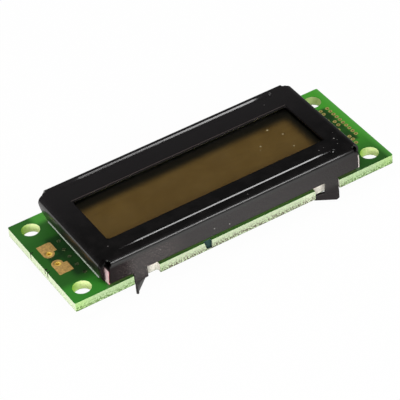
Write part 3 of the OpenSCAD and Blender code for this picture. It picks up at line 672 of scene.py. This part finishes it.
def makeElastomer(e):
    # silicone extruded in three layers: pink matte flanks, a striped conductive core, and cream cut ends, painted
    # lighter where the light falls on them
    material, tree, place = startMaterial("extruded pink silicone with carbon stripes")
    axes = addNode(tree, "ShaderNodeSeparateXYZ", [place]).outputs
    folded = addNode(tree, "ShaderNodeVectorMath", [place], operation="ABSOLUTE")
    fromMiddle = addNode(tree, "ShaderNodeSeparateXYZ", [folded]).outputs
    grain = addNode(tree, "ShaderNodeTexNoise", {"Vector": place, "Scale": 1 / (e["grain"] * mm), "Detail": 2.0})
    pale = addNode(tree, "ShaderNodeMapRange", [grain, *e["grainSpan"], 0, 1])
    stripes = addNode(tree, "ShaderNodeTexWave", {
        "Vector": place, "Scale": 2 * math.pi / (e["stripe"] * mm) / e["waveTurn"], "Distortion": 0.0},
        bands_direction="X")
    off = addNode(tree, "ShaderNodeMath", [fromMiddle["Y"], e["middle"] * mm], operation="SUBTRACT")
    fromCore = addNode(tree, "ShaderNodeMath", [off], operation="ABSOLUTE")
    inCore = addNode(tree, "ShaderNodeMapRange", [fromCore, *metres(e["coreHalf"]), 0, 1])
    striped = joinMasks(tree, "MULTIPLY", [inCore, stripes.outputs["Fac"]])
    # the cut ends are cream and painted lighter as lit, and the flank beside the right cut is painted the same pale
    # colour, a painted highlight; the right end is painted whiter still
    facing = addNode(tree, "ShaderNodeNewGeometry").outputs["True Normal"]
    facingX = addNode(tree, "ShaderNodeSeparateXYZ", [facing]).outputs["X"]
    outward = addNode(tree, "ShaderNodeMath", [facingX], operation="ABSOLUTE")
    cut = addNode(tree, "ShaderNodeMapRange", [outward, *e["cutFacing"], 0, 1])
    bare = addNode(tree, "ShaderNodeMapRange", [axes["X"], *metres(e["litFlankFrom"]), 0, e["litFlankShare"]])
    end = joinMasks(tree, "MAXIMUM", [cut, bare])
    cream = addNode(tree, "ShaderNodeMapRange", [axes["X"], *metres(e["creamFrom"]), 0, 1])
    endColour = paintLayers(tree, e["ends"], (cream, e["rightEndsLit"]))
    high = addNode(tree, "ShaderNodeMapRange", [axes["Z"], *metres(e["shadeHeights"]), 0, 1])
    outer = addNode(tree, "ShaderNodeMapRange", [fromMiddle["X"], *metres(e["shadeFrom"]), 0, 1])
    shaded = joinMasks(tree, "MULTIPLY", [high, outer])
    colour = paintLayers(tree, e["deep"], (pale, e["side"]), (striped, e["core"]), (end, endColour),
                         (shaded, e["shade"]))
    bump = addNode(tree, "ShaderNodeBump", {"Strength": e["grainStrength"], "Distance": e["grainDepth"] * mm,
                                            "Height": grain})
    shader = addNode(tree, "ShaderNodeBsdfPrincipled", {"Base Color": colour, "Roughness": e["roughness"],
                                                        "IOR": e["ior"], "Normal": bump})
    addNode(tree, "ShaderNodeOutputMaterial", [shader])
    return material


epoxyCap = dict(material="black epoxy, dripped and cured", colour="#0c0c0d", mark="#19191b",
                roughness=0.3, ior=1.55, grain=1.2, depth=0.010)
matteLooks = {  # grain and depth of the marks in millimetres
    "spacer_frame": dict(material="white polycarbonate, moulded", colour="#f2ffee", mark="#e8fae4",
                         roughness=0.45, ior=1.58, grain=0.8, depth=0.003, flank="#36452f"),
    # the pale marks on the tented vias are painted highlights on the sagged mask
    "tented_vias": dict(material="solder mask sagged over plated holes", colour="#12260f", mark="#8a9866",
                        roughness=0.3, ior=1.52, grain=0.16, depth=0.004, span=(0.5, 0.72)),
    "controller_cap": epoxyCap, "driver_cap": epoxyCap,
    "chip_resistors": dict(material="black glass coat on alumina", colour="#141416", mark="#24242a",
                           roughness=0.3, ior=1.5, grain=0.3, depth=0.003),
    "chip_capacitors": dict(material="tan barium titanate, fired", colour="#8f6d49", mark="#7a5a3a",
                            roughness=0.4, ior=1.6, grain=0.25, depth=0.004),
    "solder_joints": dict(material="tin solder, reflowed", colour="#b9babb", mark="#8e9092",
                          roughness=0.3, ior=1.5, grain=0.2, depth=0.01),
    "cell_seal": dict(material="epoxy cell seal, screen printed", colour="#cfc6a0", mark="#b8ad84",
                      roughness=0.5, ior=1.55, grain=0.3, depth=0.004),
    "fill_plug": dict(material="acrylic plug, cured by light", colour="#dcd2a4", mark="#c6b97f",
                      roughness=0.25, ior=1.49, grain=0.5, depth=0.004),
    "rear_polariser": dict(material="foil backed polariser", colour="#8c8a84", mark="#76746c",
                           roughness=0.4, ior=1.5, grain=0.4, depth=0.002),
}
matteSkin = dict(span=(0.35, 0.65), roughSpan=(0.3, 0.7), roughShare=(0.85, 1.15), strength=0.4,
                 flankFacing=(0.5, 0.4))


def makeMatte(look, skin):
    # moulded, fired or cured bodies: an even colour with marks of the given size and a fine skin
    material, tree, place = startMaterial(look["material"])
    marks = addNode(tree, "ShaderNodeTexNoise", {"Vector": place, "Scale": 1 / (look["grain"] * mm), "Detail": 3.0})
    marked = addNode(tree, "ShaderNodeMapRange", [marks, *look.get("span", skin["span"]), 0, 1])
    colour = paintLayers(tree, look["colour"], (marked, look["mark"]))
    # painted shade and painted reflection: the upright faces are painted dark green for the shade of the board and
    # wall beside them and the board mirrored in them
    if "flank" in look:  # upright faces take the dark of what stands beside them
        facing = addNode(tree, "ShaderNodeNewGeometry").outputs["True Normal"]
        facingUp = addNode(tree, "ShaderNodeSeparateXYZ", [facing]).outputs["Z"]
        upright = addNode(tree, "ShaderNodeMapRange", [facingUp, *skin["flankFacing"], 0, 1])
        colour = paintLayers(tree, colour, (upright, look["flank"]))
    levels = [look["roughness"] * share for share in skin["roughShare"]]
    rough = addNode(tree, "ShaderNodeMapRange", [marks, *skin["roughSpan"], *levels])
    bump = addNode(tree, "ShaderNodeBump", {"Strength": skin["strength"], "Distance": look["depth"] * mm,
                                            "Height": marks})
    shader = addNode(tree, "ShaderNodeBsdfPrincipled", {"Base Color": colour, "Roughness": rough,
                                                        "IOR": look["ior"], "Normal": bump})
    addNode(tree, "ShaderNodeOutputMaterial", [shader])
    return material


gilding = dict(
    material="gold flash on copper, etched", colour="#e6ba6c", worn="#ac8850",
    roughness=0.42, metal=0.2, streak=(0.9, 0.07), spot=0.3, wornSpan=(0.15, 0.38), depth=0.006, strength=0.5,
)
ringGilding = dict(gilding, material="gold flash on copper rings, greenish beside the mask",
                   colour="#cfc272", worn="#a59a55")
padGilding = dict(
    gilding, material="gold flash on copper pads with plated holes", holes=((-25.86, 1.37), (-25.86, -1.32)),
    # the dark rim is painted shade, the bright fill a painted highlight on the solder
    rim="#8a6a30", rimShadeSpot=(-0.15, 0.20, 0.572, 0.9),  # shift from the hole's middle, radius, strength
    fillAndGlint="#ffd860", fillAndGlintSpot=(0.08, -0.05, 0.594, 1.0),
)


def makeGold(g):
    # copper plated with nickel and a flash of gold: warm and satin, brighter where it rounds into a hole, where the
    # solder fill carries a painted highlight and the far rim a painted shade
    material, tree, place = startMaterial(g["material"])
    along, across = g["streak"]
    drawn = addNode(tree, "ShaderNodeMapping", {"Vector": place,
                                                "Scale": [1 / (size * mm) for size in (along, across, along)]})
    streaks = addNode(tree, "ShaderNodeTexNoise", {"Vector": drawn, "Scale": 1.0, "Detail": 3.0})
    spots = addNode(tree, "ShaderNodeTexNoise", {"Vector": place, "Scale": 1 / (g["spot"] * mm), "Detail": 2.0})
    wear = joinMasks(tree, "MULTIPLY", [streaks, spots])
    whole = addNode(tree, "ShaderNodeMapRange", [wear, *g["wornSpan"], 0, 1])
    colour = paintLayers(tree, g["worn"], (whole, g["colour"]))
    metal = g["metal"]
    if "holes" in g:
        # solder creeps up round the hole: the far side of its rim is painted dark, a painted shade, and the fill is
        # painted bright, solder colour with a painted highlight
        rim, fill = (spotMask(tree, place, [(x + aside, y + back, 0, radius, strength) for x, y in g["holes"]],
                              (1, 1, 0)) for aside, back, radius, strength in (g["rimShadeSpot"], g["fillAndGlintSpot"]))
        colour = paintLayers(tree, colour, (rim, g["rim"]), (fill, g["fillAndGlint"]))
        metal = addNode(tree, "ShaderNodeMapRange", [fill, 0, 1, metal, 0])
    bump = addNode(tree, "ShaderNodeBump", {"Strength": g["strength"], "Distance": g["depth"] * mm, "Height": wear})
    shader = addNode(tree, "ShaderNodeBsdfPrincipled", {"Base Color": colour, "Metallic": metal,
                                                        "Roughness": g["roughness"], "Normal": bump})
    addNode(tree, "ShaderNodeOutputMaterial", [shader])
    return material


windowFilm = dict(
    material="polarising film, stretched and laminated", tint="#f7f4ec", deep="#f1ede2", roughness=0.08, ior=1.49,
    cloud=4.0, cloudSpan=(0.3, 0.7), end="#1c2421", shadedEndFrom=(21.2, 21.3), dustColour="#a89c78",
    dust=((13.55, 2.16, 3.8, 0.20, 0.9), (14.94, -0.07, 3.8, 0.20, 0.7), (10.58, -0.55, 3.8, 0.18, 0.9),
          (14.74, -3.49, 3.8, 0.18, 0.7), (10.05, -1.34, 3.8, 0.12, 0.6)),
)
windowGlass = dict(windowFilm, material="soda-lime float glass, cut", tint="#f4f8f5", deep="#f4f8f5",
                   roughness=0.02, ior=1.52, dust=())


def makeClear(w):
    # clear film or float glass: lets its tint through and mirrors a little more towards a low angle
    material, tree, place = startMaterial(w["material"])
    cloud = addNode(tree, "ShaderNodeTexNoise", {"Vector": place, "Scale": 1 / (w["cloud"] * mm), "Detail": 2.0})
    cloudy = addNode(tree, "ShaderNodeMapRange", [cloud, *w["cloudSpan"], 0, 1])
    folded = addNode(tree, "ShaderNodeVectorMath", [place], operation="ABSOLUTE")
    fromMiddle = addNode(tree, "ShaderNodeSeparateXYZ", [folded]).outputs["X"]
    # painted shade: the ends of the film and of the glass, which lie in the corner slits under the sheet, are
    # painted dark
    end = addNode(tree, "ShaderNodeMapRange", [fromMiddle, *metres(w["shadedEndFrom"]), 0, 1])
    colour = paintLayers(tree, w["tint"], (cloudy, w["deep"]), (end, w["end"]))
    clear = addNode(tree, "ShaderNodeBsdfTransparent", {"Color": colour})
    gloss = addNode(tree, "ShaderNodeBsdfGlossy", {"Roughness": w["roughness"]})
    fresnel = addNode(tree, "ShaderNodeFresnel", {"IOR": w["ior"]})
    inside = addNode(tree, "ShaderNodeNewGeometry").outputs["Backfacing"]
    outside = addNode(tree, "ShaderNodeMath", [1.0, inside], operation="SUBTRACT")
    share = joinMasks(tree, "MULTIPLY", [fresnel, outside])
    surface = addNode(tree, "ShaderNodeMixShader", [share, clear, gloss])
    if w["dust"]:
        dust = addNode(tree, "ShaderNodeBsdfDiffuse", {"Color": w["dustColour"]})
        surface = addNode(tree, "ShaderNodeMixShader", [spotMask(tree, place, w["dust"]), surface, dust])
    addNode(tree, "ShaderNodeOutputMaterial", [surface])
    return material


reflector = dict(
    colour="#a6814f", deep="#987549", roughness=0.42, metal=0.2,
    streak=(3.0, 0.25), cloud=7.0, cloudSpan=(0.15, 0.4),
    # the bezel keeps the light off it along the rear and right edges
    shaded="#2a241b", lit=(-30, 17.95, -30, 3.75, 1.0), hidden="#020202", open=(-30, 19.25, -30, 5.85, 0.12),
)


def makeReflector(r):
    # the liquid crystal layer and the satin reflector behind it, drawn where it seems to lie through the glass
    material, tree, place = startMaterial("brown satin reflector behind liquid crystal")
    along, across = r["streak"]
    drawn = addNode(tree, "ShaderNodeMapping", {"Vector": place, "Scale": (1 / (along * mm), 1 / (across * mm), 1)})
    streaks = addNode(tree, "ShaderNodeTexNoise", {"Vector": drawn, "Scale": 1.0, "Detail": 2.0})
    cloud = addNode(tree, "ShaderNodeTexNoise", {"Vector": place, "Scale": 1 / (r["cloud"] * mm), "Detail": 2.0})
    both = joinMasks(tree, "MULTIPLY", [streaks, cloud])
    pale = addNode(tree, "ShaderNodeMapRange", [both, *r["cloudSpan"], 0, 1])
    satin = paintLayers(tree, r["deep"], (pale, r["colour"]))
    inLight = paintLayers(tree, r["shaded"], (zoneMask(tree, place, *r["lit"]), satin))
    colour = paintLayers(tree, r["hidden"], (zoneMask(tree, place, *r["open"]), inLight))
    shader = addNode(tree, "ShaderNodeBsdfPrincipled", {"Base Color": colour, "Metallic": r["metal"],
                                                        "Roughness": r["roughness"]})
    addNode(tree, "ShaderNodeOutputMaterial", [shader])
    return material


gold, ringGold, padGold = (makeGold(look) for look in (gilding, ringGilding, padGilding))
silicone = makeElastomer(elastomer)
finishes = {
    "circuit_board": makeBoard(boardFinish),
    "front_strip": silicone, "rear_strip": silicone,
    "led_pad_rear": padGold, "led_pad_front": padGold,
    "outer_rings": ringGold, "inner_rings": ringGold,
    "front_fingers": gold, "rear_fingers": gold,
    "front_polariser": makeClear(windowFilm), "front_glass": makeClear(windowGlass),
    "rear_glass": makeReflector(reflector),
}
for name, look in matteLooks.items():
    finishes[name] = makeMatte(look, matteSkin)
for name, material in finishes.items():
    nodes[name].data.materials.clear()
    nodes[name].data.materials.append(material)
bezelSheet.data.materials.clear()
bezelSheet.data.materials.append(makeBlackCoat(blackCoat))

print("sizes")
